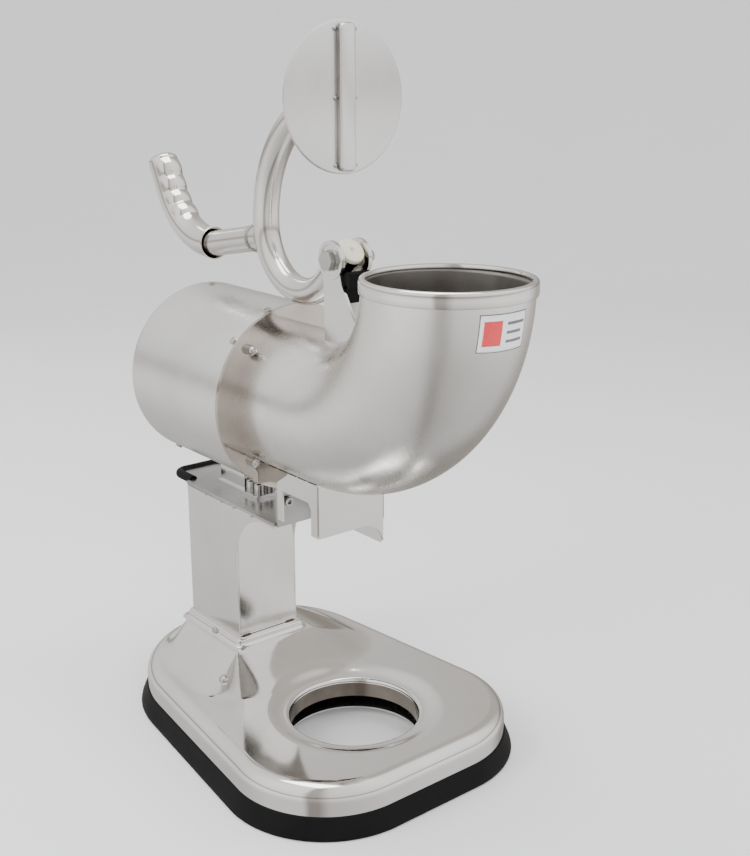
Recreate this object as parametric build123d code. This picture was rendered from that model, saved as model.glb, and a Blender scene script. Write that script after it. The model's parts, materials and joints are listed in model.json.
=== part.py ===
"""Shaved ice machine: a bent-tube hopper on a motor housing, a pedestal stand and a swinging press arm.

Millimetres. +Z is up, the hopper end faces -Y and the motor end faces +Y.
The origin is at the centre of the footprint of the whole machine, on the table.
"""
from build123d import *
import os
from math import cos, radians, sin, sqrt

# ---- driving dimensions -------------------------------------------------------------------
HOPPER_Y = -198.0            # vertical axis of the hopper mouth
AXIS_Z = 340.0               # height of the horizontal motor and elbow axis
TUBE_R = 70.0                # elbow outside radius
TUBE_WALL = 1.5
BEND_R = 139.0               # centreline radius of the elbow
MOUTH_R = 66.0               # radius of the hopper mouth inside its rolled collar
COLLAR_R = 72.0
COLLAR_HEIGHT = 13.0

FLANGE_Y = 11.0              # front face of the polished motor flange
FLANGE_R = 90.0
FLANGE_THICK = 4.0
STUD_CIRCLE_R = 76.0         # circle of the four long studs
SLEEVE_R = 88.5
SLEEVE_WALL = 1.5
SLEEVE_END_Y = 165.0
COVER_END_Y = 182.0
COVER_EDGE_R = 10.0

BASE_FRONT_Y = -198.0        # front edge of the rubber skirt
BASE_FRONT_R = 102.5         # radius of each front corner at the table
BASE_FRONT_X = 49.0          # half distance between the front corner centres
BASE_REAR_R = 132.0          # radius of the round rear end at the table
BASE_REAR_Y = 80.0           # centre of the round rear end
SKIRT_HEIGHT = 20.0
SKIRT_FLARE = 8.0
PAN_INSET = 8.0              # pan wall stands this far inside the table outline
PAN_WALL = 1.5
PAN_LEDGE_Z = 8.0            # step in the skirt that carries the pan and the bottom plate
PAN_TOP_Z = 48.0
SHOULDER_R = 14.0
BOWL_Y = -73.0               # centre of the bowl hole
BOWL_R = 62.5
BOWL_EDGE_Z = 43.0
BOWL_LIP_DEPTH = 19.0
PLINTH_Z = 75.0              # top of the raised plinth under the column
PLINTH_HALF_X = 41.0
PAN_SCREW = (-76.0, 40.0, 58.0)   # seat of the dome-head screw beside the plinth

COLUMN_HALF_X = 36.0
COLUMN_FRONT_Y = 73.0
COLUMN_REAR_Y = 166.0
COLUMN_TOP_Z = 219.0
SHEET = 2.0                  # sheet thickness of the column and the chute
GUSSET_R = 50.0
SHELF_FRONT_Y = 4.0
SHELF_THICK = 3.0
TONGUE_REAR_Y = 202.0
TONGUE_HALF_X = 28.0
GUARD_R = 4.75
SWITCH_Y = 118.0             # centre of the rocker switch on the right wall
SWITCH_Z = 146.0
ROCKER_TILT = 9.0
GLAND_Z = 103.0              # cord gland in the rear wall
GLAND_R = 7.0

PIVOT_Y = -64.0              # hinge of the press arm
PIVOT_Z = 481.0
EAR_INNER_X = 13.0
EAR_THICK = 3.0
PIVOT_BOLT_R = 5.0
BUSH_R = 8.0
BUSH_HALF_X = 12.4
ARM_TUBE_R = 12.5
ARM_TUBE_WALL = 1.5
PRESS_SWING_R = 135.5        # pivot to the centre of the press plate
PRESS_R = 63.0
PRESS_THICK = 2.0
GRIP_R = 15.5
HANDLE_TIP = 34.0            # straight end of the handle beyond its bend

SHAFT_R = 7.45
BEARING_BORE_R = 7.5
BLADE_DISC_Y = -50.0
BLADE_DISC_R = 66.0
RUN_GAP = 0.05               # radial running clearance

os.makedirs("parts", exist_ok=True)
nodes = {}


# ---- small helpers ------------------------------------------------------------------------
def block(x0, x1, y0, y1, z0, z1):
    """A box between two corners."""
    centre = ((x0 + x1) / 2, (y0 + y1) / 2, (z0 + z1) / 2)
    return Pos(*centre) * Box(x1 - x0, y1 - y0, z1 - z0)


def rod_x(radius, x0, x1, y, z):
    """A cylinder along X."""
    return Pos((x0 + x1) / 2, y, z) * Rot(0, 90, 0) * Cylinder(radius, x1 - x0)


def rod_y(radius, y0, y1, x=0.0, z=AXIS_Z):
    """A cylinder along Y."""
    return Pos(x, (y0 + y1) / 2, z) * Rot(90, 0, 0) * Cylinder(radius, y1 - y0)


def rod_z(radius, z0, z1, x, y):
    """A cylinder along Z."""
    return Pos(x, y, (z0 + z1) / 2) * Cylinder(radius, z1 - z0)


def ring_y(outer, inner, y0, y1, x=0.0, z=AXIS_Z):
    """A tube along Y."""
    return rod_y(outer, y0, y1, x, z) - rod_y(inner, y0 - 1, y1 + 1, x, z)


def side_plate(outline, x0, x1):
    """A flat plate of constant thickness whose outline lies in the YZ plane."""
    return extrude(Plane.YZ.offset(x0) * make_face(outline), x1 - x0)


def ring_points(radius, count, start_deg):
    """Places around the motor axis as (x, z)."""
    angles = [radians(start_deg + 360 * i / count) for i in range(count)]
    return [(radius * cos(a), AXIS_Z + radius * sin(a)) for a in angles]


def tube_along(path, radius):
    """A round bar swept along a path drawn in the YZ plane."""
    section = Plane(origin=path @ 0, z_dir=path % 0) * Circle(radius)
    return sweep(section, path=path)


def hex_bar_x(across_flats, x0, x1, y, z):
    """A hexagonal bar along X."""
    corner_r = across_flats / sqrt(3)
    return extrude(Plane.YZ.offset(x0) * Pos(y, z) * RegularPolygon(corner_r, 6), x1 - x0)


# ---- base ---------------------------------------------------------------------------------
def base_outline(inset):
    """The tapered plan of the base, as the hull of two front circles and one rear circle."""
    front_y = BASE_FRONT_Y + BASE_FRONT_R
    circles = [(side * BASE_FRONT_X, front_y, BASE_FRONT_R - inset) for side in (-1, 1)]
    circles.append((0, BASE_REAR_Y, BASE_REAR_R - inset))
    rims = [(Pos(x, y) * Circle(r)).edges()[0] for x, y, r in circles]
    return make_hull(rims)


def base_slab(inset, z0, z1):
    return Pos(0, 0, z0) * extrude(base_outline(inset), z1 - z0)


def pan_form(shrink):
    """The pressed shape of the pan, shrunk by the sheet thickness for its inside."""
    inset = PAN_INSET + shrink
    body = base_slab(inset, PAN_LEDGE_Z, PAN_TOP_Z - shrink)
    body = fillet(body.edges().group_by(Axis.Z)[-1], SHOULDER_R - shrink)
    foot = Pos(0, 108, PAN_TOP_Z - shrink - 2) * Rectangle(206 - 2 * shrink, 196 - 2 * shrink)
    crown = Pos(0, 118, PLINTH_Z - 6 - shrink) * Rectangle(96 - 2 * shrink, 116 - 2 * shrink)
    rise = loft([fillet(foot.vertices(), 60), fillet(crown.vertices(), 10)])
    rise &= base_slab(inset + 6, 0, 100)
    half_x = PLINTH_HALF_X - shrink
    plinth = block(-half_x, half_x, 66 + shrink, 170 - shrink, PLINTH_Z - 20, PLINTH_Z - shrink)
    dish_top = PAN_TOP_Z - shrink + 1
    dish_r = BOWL_R + 26
    dish = Pos(0, BOWL_Y, dish_top - 3) * Cone(BOWL_R + shrink, dish_r + shrink, 6)
    return (body - dish) + rise + plinth


def make_base():
    skirt_outer = loft([base_outline(0), Pos(0, 0, SKIRT_HEIGHT) * base_outline(SKIRT_FLARE)])
    skirt = skirt_outer - base_slab(PAN_INSET, PAN_LEDGE_Z, SKIRT_HEIGHT + 1)
    nodes["base_skirt"] = skirt - base_slab(PAN_INSET + 6, -1, PAN_LEDGE_Z)

    lip_bottom = BOWL_EDGE_Z - BOWL_LIP_DEPTH
    pan = pan_form(0) - (pan_form(PAN_WALL) - block(-200, 200, -300, 300, 0, PAN_LEDGE_Z - 1))
    pan += rod_z(BOWL_R + 2, lip_bottom, PAN_TOP_Z - 3, 0, BOWL_Y)
    pan -= rod_z(BOWL_R, 0, 100, 0, BOWL_Y)
    pan -= base_slab(PAN_INSET + PAN_WALL, PAN_LEDGE_Z - 1, PAN_LEDGE_Z + 4)
    pan -= block(-34, 34, 75, 164, PLINTH_Z - 10, PLINTH_Z + 1)

    plate = base_slab(PAN_INSET + PAN_WALL + 0.1, PAN_LEDGE_Z, PAN_LEDGE_Z + 1.5)
    plate -= rod_z(BOWL_R + 4, 0, 50, 0, BOWL_Y)
    screws = Part()
    for x, y in ((-110, -95), (110, -95), (-95, 60), (95, 60), (0, -170), (0, 180)):
        head = rod_z(4.5, PAN_LEDGE_Z - 2.5, PAN_LEDGE_Z, x, y)
        screws += head + rod_z(2, PAN_LEDGE_Z, PAN_LEDGE_Z + 12, x, y)
    nodes["base_pan"] = pan
    nodes["base_plate"] = plate - screws
    nodes["base_plate_screws"] = screws

    x, y, z = PAN_SCREW
    dome = Pos(x, y, z) * Sphere(5.5) & block(x - 6, x + 6, y - 6, y + 6, z, z + 6)
    pan_screw = dome + rod_z(2.5, z - 18, z, x, y)
    nodes["pan_screw"] = pan_screw
    nodes["base_pan"] -= pan_screw


# ---- column and shelf ---------------------------------------------------------------------
def column_side_outline():
    """Side of the column with its forward gusset, in the YZ plane."""
    arc_top = (COLUMN_FRONT_Y - GUSSET_R, COLUMN_TOP_Z - SHEET - 1)
    arc_foot = (COLUMN_FRONT_Y, COLUMN_TOP_Z - SHEET - 1 - GUSSET_R)
    half_root = sqrt(0.5)
    middle = (COLUMN_FRONT_Y - GUSSET_R * (1 - half_root), arc_foot[1] + GUSSET_R * half_root)
    return [
        Line((COLUMN_FRONT_Y, PLINTH_Z), (COLUMN_REAR_Y, PLINTH_Z)),
        Line((COLUMN_REAR_Y, PLINTH_Z), (COLUMN_REAR_Y, COLUMN_TOP_Z)),
        Line((COLUMN_REAR_Y, COLUMN_TOP_Z), (SHELF_FRONT_Y, COLUMN_TOP_Z)),
        Line((SHELF_FRONT_Y, COLUMN_TOP_Z), (SHELF_FRONT_Y, arc_top[1])),
        Line((SHELF_FRONT_Y, arc_top[1]), arc_top),
        ThreePointArc(arc_top, middle, arc_foot),
        Line(arc_foot, (COLUMN_FRONT_Y, PLINTH_Z)),
    ]


def make_column():
    inner = COLUMN_HALF_X - SHEET
    outline = column_side_outline()
    hole_y, hole_z = SWITCH_Y - 11, SWITCH_Z - 15
    switch_hole = block(30, 40, hole_y, hole_y + 22, hole_z, hole_z + 30)
    nodes["column_left"] = side_plate(outline, -COLUMN_HALF_X, -inner)
    nodes["column_right"] = side_plate(outline, inner, COLUMN_HALF_X) - switch_hole
    front_y = COLUMN_FRONT_Y + SHEET
    nodes["column_front"] = block(-inner, inner, COLUMN_FRONT_Y, front_y, PLINTH_Z, COLUMN_TOP_Z)
    rear = block(-inner, inner, COLUMN_REAR_Y - SHEET, COLUMN_REAR_Y, PLINTH_Z, COLUMN_TOP_Z)
    nodes["column_rear"] = rear - rod_y(GLAND_R, 150, 180, 0, GLAND_Z)

    gland = rod_y(GLAND_R - RUN_GAP, COLUMN_REAR_Y - SHEET - 6, COLUMN_REAR_Y, 0, GLAND_Z)
    gland += rod_y(GLAND_R + 4, COLUMN_REAR_Y, COLUMN_REAR_Y + 6, 0, GLAND_Z)
    gland += rod_y(GLAND_R + 1.5, COLUMN_REAR_Y + 6, COLUMN_REAR_Y + 20, 0, GLAND_Z)
    nodes["cord_gland"] = gland - rod_y(3.8, 140, 200, 0, GLAND_Z)

    foot_z0, foot_z1 = PLINTH_Z - 17, PLINTH_Z + 22
    half_x = inner - 0.1
    foot_y0, foot_y1 = front_y + 0.1, COLUMN_REAR_Y - SHEET - 0.1
    foot = block(-half_x, half_x, foot_y0, foot_y1, foot_z0, foot_z1)
    hollow_x = half_x - SHEET
    foot -= block(-hollow_x, hollow_x, foot_y0 + SHEET, foot_y1 - SHEET, foot_z0 - 1, foot_z1 + 1)
    nodes["column_foot"] = foot - rod_y(GLAND_R + 1, 150, 180, 0, GLAND_Z)
    screws = Part()
    screw_y, screw_z = 112, PLINTH_Z - 5
    for side in (-1, 1):
        shank_x = sorted((side * (PLINTH_HALF_X - 10), side * PLINTH_HALF_X))
        head_x = sorted((side * PLINTH_HALF_X, side * (PLINTH_HALF_X + 2.5)))
        screws += rod_x(2, *shank_x, screw_y, screw_z) + rod_x(4, *head_x, screw_y, screw_z)
    nodes["foot_screws"] = screws
    nodes["base_pan"] -= screws
    nodes["column_foot"] -= screws


def make_shelf():
    z0, z1 = COLUMN_TOP_Z, COLUMN_TOP_Z + SHELF_THICK
    shelf = block(-37, 37, SHELF_FRONT_Y, COLUMN_REAR_Y, z0, z1)
    tongue = block(-TONGUE_HALF_X, TONGUE_HALF_X, COLUMN_REAR_Y, TONGUE_REAR_Y, z0, z1)
    shelf += fillet(tongue.edges().filter_by(Axis.Z).group_by(Axis.Y)[-1], 9)

    guard_z = (z0 + z1) / 2
    half, rear, start = TONGUE_HALF_X, TONGUE_REAR_Y, COLUMN_REAR_Y + 0.5
    corners = [(-half, start), (-half, rear), (half, rear), (half, start)]
    path = Pos(0, 0, guard_z) * FilletPolyline(*corners, radius=11)
    section = Plane(origin=path @ 0, z_dir=path % 0) * Circle(GUARD_R)
    nodes["edge_guard"] = sweep(section, path=path) - shelf

    mount = block(-34, 34, 1, SHELF_FRONT_Y, z0 - 1, z1 + 31)
    mount -= rod_y(SLEEVE_R + 6, -20, 60, 0, AXIS_Z)
    mount_screws = Part()
    for x in (-22.6, 22.6):
        mount_screws += rod_y(4.5, -4, 1, x, z1 + 21) - rod_y(2.2, -5, -1.5, x, z1 + 21)
        mount_screws += rod_y(2.5, 1, FLANGE_Y - 0.5, x, z1 + 21)
    nodes["mount_screws"] = mount_screws
    nodes["front_mount_plate"] = mount - mount_screws

    web = block(-10, 10, 95, 140, z1 + 3.5, z1 + 40)
    cradle = block(-13, 13, 68, 142, z1, z1 + 3.5) + (web - rod_y(SLEEVE_R, 0, 200))
    cap_screws = Part()
    for y in (73, 87):
        for x in (-6.8, 6.8):
            head = rod_z(5, z1 + 3.5, z1 + 14.5, x, y) - rod_z(2.5, z1 + 10, z1 + 15, x, y)
            cap_screws += head + rod_z(2.5, z0 - 6, z1 + 3.5, x, y)
    nodes["cradle_screws"] = cap_screws
    nodes["cradle"] = cradle - cap_screws
    nodes["top_shelf"] = shelf - cap_screws
    nodes["column_front"] -= cap_screws


# ---- hopper and chute ---------------------------------------------------------------------
def elbow_form(radius, top_z, rear_y):
    """A solid bar that follows the hopper tube: down, round the bend and back to the flange."""
    bend_z = AXIS_Z + BEND_R
    bend_y = HOPPER_Y + BEND_R
    quarter = revolve(
        Plane.XY.offset(bend_z) * Pos(0, HOPPER_Y) * Circle(radius),
        axis=Axis((0, bend_y, bend_z), (1, 0, 0)),
        revolution_arc=90,
    )
    bar = rod_z(radius, bend_z, top_z, 0, HOPPER_Y) + rod_y(radius, bend_y, rear_y)
    return quarter + bar


def make_hopper():
    top_z = AXIS_Z + BEND_R + 1.5
    outer = elbow_form(TUBE_R, top_z, FLANGE_Y)
    inner = elbow_form(TUBE_R - TUBE_WALL, top_z + 1, FLANGE_Y + 1)
    outlet = block(-32, 32, BLADE_DISC_Y + 7, -8, AXIS_Z - TUBE_R - 5, AXIS_Z - 20)
    nodes["hopper_elbow"] = (outer - inner) - outlet

    lip_z = top_z + 2.0
    band = rod_z(COLLAR_R, lip_z - COLLAR_HEIGHT, lip_z, 0, HOPPER_Y)
    rolled = fillet(band.edges().group_by(Axis.Z)[-1], 1.9)
    nodes["hopper_collar"] = rolled - rod_z(MOUTH_R, 0, 600, 0, HOPPER_Y) - outer
    return outer


def make_chute(elbow_outer):
    low, rear, front = 229.0, -5.0, -69.0
    top = AXIS_Z - 40
    far_low = low - 22
    shoulder = [(front, top), (rear - 18, top), (rear - 18, 279), (rear, 267)]
    window = [(rear - 9, low), (rear - 9, 260), (front + 14, 260), (front + 10, 254), (front + 10, low)]
    near = Polyline((front, low), *shoulder, (rear, low), *window, close=True)
    far = Polyline((front, far_low), *shoulder, (rear, far_low), close=True)
    outer_x = 38.0
    inner_x = outer_x - SHEET
    nodes["chute_left"] = side_plate(near, -outer_x, -inner_x) - elbow_outer
    nodes["chute_right"] = side_plate(far, inner_x, outer_x) - elbow_outer
    front_edge = [
        Line((-outer_x, top), (-outer_x, low)),
        Line((-outer_x, low), (14, low)),
        ThreePointArc((14, low), (30, low - 6), (outer_x, low - 20)),
        Line((outer_x, low - 20), (outer_x, top)),
        Line((outer_x, top), (-outer_x, top)),
    ]
    apron = extrude(Plane.XZ.offset(-(front - SHEET)) * make_face(front_edge), -SHEET)
    nodes["chute_front"] = apron - elbow_outer


# ---- motor housing ------------------------------------------------------------------------
def make_housing():
    back_y = FLANGE_Y + FLANGE_THICK
    studs, nuts = Part(), Part()
    for x, z in ring_points(STUD_CIRCLE_R, 4, 45):
        studs += rod_y(2.5, FLANGE_Y - 5, 144, x, z)
        dome = Pos(x, FLANGE_Y - 5, z) * Sphere(4.3) & rod_y(6, FLANGE_Y - 10, FLANGE_Y - 5, x, z)
        nuts += (rod_y(4.8, FLANGE_Y - 5, FLANGE_Y, x, z) + dome) - rod_y(2.5, FLANGE_Y - 5, 144, x, z)
    flange = rod_y(FLANGE_R, FLANGE_Y, back_y) + ring_y(62, 58, back_y, 50)
    flange += rod_y(26, back_y, back_y + 18)
    flange -= rod_y(15, 0, back_y + 3)
    flange -= rod_y(17.5, back_y + 3, back_y + 14)
    flange -= rod_y(12, back_y + 13, back_y + 20)
    nodes["front_flange"] = flange - studs - nodes["mount_screws"]
    nodes["tie_rods"] = studs
    nodes["dome_nuts"] = nuts

    sleeve = ring_y(SLEEVE_R, SLEEVE_R - SLEEVE_WALL, back_y, SLEEVE_END_Y)
    sleeve_screws = Part()
    for angle in (44, 73, 107, 136):
        radial = Pos(0, back_y + 6, AXIS_Z) * Rot(0, 90 - angle, 0)
        sleeve_screws += radial * (Pos(0, 0, SLEEVE_R + 1) * Cylinder(3.6, 2.6))
        sleeve_screws += radial * (Pos(0, 0, SLEEVE_R - 4) * Cylinder(2, 8))
    for angle in (-122, -58, 90):
        radial = Pos(0, SLEEVE_END_Y - 5, AXIS_Z) * Rot(0, 90 - angle, 0)
        sleeve_screws += radial * (Pos(0, 0, SLEEVE_R + 0.8) * Cylinder(3.4, 2.2))
        sleeve_screws += radial * (Pos(0, 0, SLEEVE_R - 3) * Cylinder(2, 6))
    nodes["sleeve_screws"] = sleeve_screws
    nodes["motor_sleeve"] = sleeve - sleeve_screws

    cap = rod_y(SLEEVE_R, SLEEVE_END_Y, COVER_END_Y)
    cap = fillet(cap.edges().group_by(Axis.Y)[-1], COVER_EDGE_R)
    hollow = rod_y(SLEEVE_R - SLEEVE_WALL, SLEEVE_END_Y - 1, COVER_END_Y - SLEEVE_WALL)
    hollow = fillet(hollow.edges().group_by(Axis.Y)[-1], COVER_EDGE_R - SLEEVE_WALL)
    cap -= hollow
    spigot_r = SLEEVE_R - SLEEVE_WALL - 1.5
    cap += ring_y(SLEEVE_R - SLEEVE_WALL - RUN_GAP, spigot_r, SLEEVE_END_Y - 12, SLEEVE_END_Y)
    cap += ring_y(SLEEVE_R - 0.5, spigot_r, SLEEVE_END_Y, SLEEVE_END_Y + 2)
    for radius in (24, 42, 60):
        for i in range(10):
            slot = Rot(0, 36 * i, 0) * Pos(radius, 0, 0) * Box(radius / 4, 40, 5)
            cap -= Pos(0, COVER_END_Y, AXIS_Z) * slot
    nodes["rear_cover"] = cap - sleeve_screws

    plate = rod_y(SLEEVE_R - SLEEVE_WALL - 0.1, 140, 144) + ring_y(62, 58, 105, 140)
    plate += rod_y(26, 126, 140)
    plate -= rod_y(17.5, 128, 139)
    plate -= rod_y(12, 120, 150)
    for x, z in ring_points(45, 6, 0):
        plate -= rod_y(9, 139.5, 150, x, z)
    nodes["rear_bearing_plate"] = plate - studs


def make_motor():
    stator = ring_y(62, 36, 50, 105)
    for i in range(12):
        slot = Rot(0, 30 * i, 0) * Pos(43, 0, 0) * Box(16, 80, 7)
        stator -= Pos(0, 77.5, AXIS_Z) * slot
    nodes["stator_core"] = stator
    windings = Part()
    for y in (42, 113):
        coil = Pos(0, y, AXIS_Z) * Rot(90, 0, 0) * Torus(47, 7)
        windings += coil
    nodes["stator_windings"] = windings
    nodes["shaft_bearings"] = Part() + [ring_y(17.5, BEARING_BORE_R, y0, y0 + 11) for y0 in (18, 128)]


def make_rotor():
    shaft = rod_y(SHAFT_R, BLADE_DISC_Y - 8, 162)
    spacer = ring_y(12.5, SHAFT_R, BLADE_DISC_Y + 4, 17.5)
    core = ring_y(35.5, SHAFT_R, 50, 105)
    disc = ring_y(BLADE_DISC_R, SHAFT_R, BLADE_DISC_Y, BLADE_DISC_Y + 4)
    blades, screws = Part(), Part()
    for i in range(3):
        turn = Pos(0, 0, AXIS_Z) * Rot(0, 120 * i, 0)
        disc -= turn * block(20, 62, BLADE_DISC_Y - 1, BLADE_DISC_Y + 5, -2, 5)
        blade = turn * block(18, 62, BLADE_DISC_Y - 2.5, BLADE_DISC_Y, -13, -1)
        for x in (28, 52):
            screw = turn * (
                Pos(x, BLADE_DISC_Y - 3.2, -8) * Rot(90, 0, 0) * Cylinder(3, 1.4)
                + Pos(x, BLADE_DISC_Y, -8) * Rot(90, 0, 0) * Cylinder(1.5, 6)
            )
            screws += screw
        blades += blade
    nodes["blade_screws"] = screws
    nodes["blades"] = blades - screws
    nodes["blade_disc"] = disc - screws
    nodes["rotor_shaft"] = shaft + spacer
    nodes["rotor_core"] = core
    nut = extrude(
        Plane.XZ.offset(-BLADE_DISC_Y) * Pos(0, AXIS_Z) * RegularPolygon(13, 6), 9
    )
    nodes["disc_nut"] = fillet(nut.edges().group_by(Axis.Y)[0], 1) - shaft

    fan = ring_y(14, SHAFT_R, 148, 160) + (ring_y(60, 13, 148, 150))
    for i in range(8):
        fan += Pos(0, 155, AXIS_Z) * Rot(0, 45 * i, 0) * Pos(36, 0, 0) * Box(46, 10, 2)
    nodes["cooling_fan"] = fan


# ---- press arm ----------------------------------------------------------------------------
def arm_path(start_back):
    """Centreline of the C-shaped tube from just in front of the pivot to the press plate."""
    heading = radians(-42)
    direction = (cos(heading), sin(heading))
    start = (PIVOT_Y - start_back * direction[0], PIVOT_Z - start_back * direction[1])
    bend_start = (PIVOT_Y + 34 * direction[0], PIVOT_Z + 34 * direction[1])
    lead = Line(start, bend_start)
    low_bend = JernArc(bend_start, direction, 58, 131)
    high_bend = JernArc(low_bend @ 1, low_bend % 1, PRESS_SWING_R - 21.5, 91)
    plate_back = (PIVOT_Y + PRESS_THICK / 2, (high_bend @ 1).Y)
    return Plane.YZ * Wire([lead, low_bend, high_bend, Line(high_bend @ 1, plate_back)])


def handle_path():
    """Centreline of the handle from inside the C to the end of the grip."""
    heading = radians(-10)
    start = (62.0, 486.5)
    bend_start = (143.0, 472.2)
    arc = JernArc(bend_start, (cos(heading), sin(heading)), 85, 73)
    tip = arc @ 1 + (arc % 1) * HANDLE_TIP
    return Plane.YZ * Wire([Line(start, bend_start), arc, Line(arc @ 1, tip)])


def make_arm():
    path = arm_path(9.0)
    bar = tube_along(path, ARM_TUBE_R)
    bore = tube_along(path, ARM_TUBE_R - ARM_TUBE_WALL)
    nodes["arm_tube"] = (bar - bore) - rod_x(BUSH_R, -20, 20, PIVOT_Y, PIVOT_Z)
    bush = rod_x(BUSH_R, -BUSH_HALF_X, BUSH_HALF_X, PIVOT_Y, PIVOT_Z)
    nodes["pivot_bush"] = bush - rod_x(PIVOT_BOLT_R + RUN_GAP, -20, 20, PIVOT_Y, PIVOT_Z)

    nose = Plane(origin=path @ 0, z_dir=-(path % 0))
    plug = nose * Pos(0, 0, 2.2) * Cylinder(ARM_TUBE_R - 0.2, 4.4)
    plug = fillet(plug.edges().sort_by(Axis(nose.origin, nose.z_dir))[-1:], 1.5)
    nodes["end_plug"] = plug - nose * Pos(0, 0, 4.4) * Sphere(2.6)
    make_handle(bar)
    make_press_plate((path @ 1).Y)


def make_handle(arm_bar):
    path = handle_path()
    bar = tube_along(path, ARM_TUBE_R)
    bore = tube_along(path, ARM_TUBE_R - ARM_TUBE_WALL)
    nodes["handle_tube"] = (bar - bore) - arm_bar

    arc, tip = path.edges()[1], path.edges()[2]
    grip_start = 0.14
    covered = arc.trim(grip_start, 1.0)
    grip_path = Wire([covered, tip])
    grip = tube_along(grip_path, GRIP_R)
    inward = Vector(0, -sin(radians(62)), cos(radians(62)))
    for i in range(4):
        spot = tip @ 1 - (tip % 1) * (16 + 19 * i)
        if i > 1:
            spot = arc @ (1.0 - 0.17 * (i - 1.05))
            across = arc % (1.0 - 0.17 * (i - 1.05))
            inward = Vector(0, -across.Z, across.Y)
        centre = spot + inward * (GRIP_R - 7)
        grip += Pos(*centre) * Sphere(9.5)
    cap_plane = Plane(origin=tip @ 1, z_dir=tip % 1)
    end_cap = cap_plane * Pos(0, 0, 1.5) * Cylinder(GRIP_R, 3)
    grip += fillet(end_cap.edges().sort_by(Axis(cap_plane.origin, cap_plane.z_dir))[-1:], 1.6)
    lip_plane = Plane(origin=arc @ grip_start, z_dir=arc % grip_start)
    grip += lip_plane * Pos(0, 0, 1.5) * Cylinder(GRIP_R + 1.5, 3)
    nodes["grip"] = grip - bar


def make_press_plate(back_y):
    z = PIVOT_Z + PRESS_SWING_R
    front_y = back_y - PRESS_THICK
    nodes["press_plate"] = rod_y(PRESS_R, front_y, back_y, 0, z)
    rib_depth, rib_half, rib_len = 5.5, 8.5, 60.5
    rib_front_y, end_slope = front_y - rib_depth, 4
    outline = Polyline(
        (front_y, z - rib_len),
        (rib_front_y, z - rib_len + end_slope),
        (rib_front_y, z + rib_len - end_slope),
        (front_y, z + rib_len),
        close=True,
    )
    rib = side_plate(outline, -rib_half, rib_half)
    half_x, z0, z1 = rib_half - 1.5, z - rib_len - 5, z + rib_len + 5
    channel = block(-half_x, half_x, rib_front_y + 1.5, front_y + 1, z0, z1)
    nodes["press_rib"] = rib - channel
    rivets = Part()
    for x in (-rib_half - 2.2, rib_half + 2.2):
        for dz in (-rib_len + 5, 0, rib_len - 5):
            dome = Pos(x, front_y, z + dz) * Sphere(2.0)
            rivets += dome & rod_y(4, front_y - 4, front_y, x, z + dz)
    nodes["rib_rivets"] = rivets


# ---- arm bracket --------------------------------------------------------------------------
def ear_outline():
    """Side view of a bracket ear, drawn below the pivot and trimmed by the tube it stands on."""
    front = [(-12, -8), (-15, -20), (-36, -56), (-22, -80)]
    back = [(10, -80), (11, -20), (12, -8)]
    return Polyline(*[(PIVOT_Y + y, PIVOT_Z + z) for y, z in front + back], close=True)


def make_bracket(elbow_outer):
    for name, side in (("bracket_ear_left", -1), ("bracket_ear_right", 1)):
        x0, x1 = sorted((side * EAR_INNER_X, side * (EAR_INNER_X + EAR_THICK)))
        ear = side_plate(ear_outline(), x0, x1) + rod_x(17, x0, x1, PIVOT_Y, PIVOT_Z)
        raised = sorted((side * (EAR_INNER_X + EAR_THICK), side * (EAR_INNER_X + EAR_THICK + 1)))
        boss = rod_x(17, raised[0], raised[1], PIVOT_Y, PIVOT_Z)
        ear += boss - rod_x(13.5, -30, 30, PIVOT_Y, PIVOT_Z)
        nodes[name] = ear - rod_x(PIVOT_BOLT_R, -30, 30, PIVOT_Y, PIVOT_Z) - elbow_outer

    web_y, shelf_z, web_thick = PIVOT_Y - 20, PIVOT_Z - 38, 2.5
    web = block(-EAR_INNER_X, EAR_INNER_X, web_y, web_y + web_thick, PIVOT_Z - 80, shelf_z)
    web += block(-EAR_INNER_X, EAR_INNER_X, web_y, web_y + 13, shelf_z, shelf_z + web_thick)
    screw_z = shelf_z - 14
    screw = rod_y(3.5, web_y - 2.2, web_y, 0, screw_z) + rod_y(1.8, web_y, web_y + 8, 0, screw_z)
    nodes["web_screw"] = screw
    nodes["bracket_web"] = web - elbow_outer - screw
    pad_half_x = EAR_INNER_X - 0.4
    pad_z = shelf_z + web_thick
    pad = block(-pad_half_x, pad_half_x, web_y, web_y + 12, pad_z, pad_z + 15)
    nodes["stop_pad"] = fillet(pad.edges().filter_by(Axis.X).group_by(Axis.Z)[-1], 2.5)

    ear_face = EAR_INNER_X + EAR_THICK
    washer_face = ear_face + 1.4
    washers = Part()
    for side in (-1, 1):
        x0, x1 = sorted((side * ear_face, side * washer_face))
        washers += rod_x(9.5, x0, x1, PIVOT_Y, PIVOT_Z) - rod_x(PIVOT_BOLT_R, -30, 30, PIVOT_Y, PIVOT_Z)
    nodes["pivot_washers"] = washers
    head = hex_bar_x(16, -washer_face - 5, -washer_face, PIVOT_Y, PIVOT_Z)
    nodes["pivot_bolt"] = head + rod_x(PIVOT_BOLT_R, -washer_face, washer_face + 8, PIVOT_Y, PIVOT_Z)
    nut = hex_bar_x(16, washer_face, washer_face + 7, PIVOT_Y, PIVOT_Z)
    dome = Pos(washer_face + 7, PIVOT_Y, PIVOT_Z) * Sphere(6.8)
    nut += dome & rod_x(7, washer_face + 7, washer_face + 20, PIVOT_Y, PIVOT_Z)
    nodes["pivot_nut"] = nut - rod_x(PIVOT_BOLT_R, -30, washer_face + 8, PIVOT_Y, PIVOT_Z)


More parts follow.
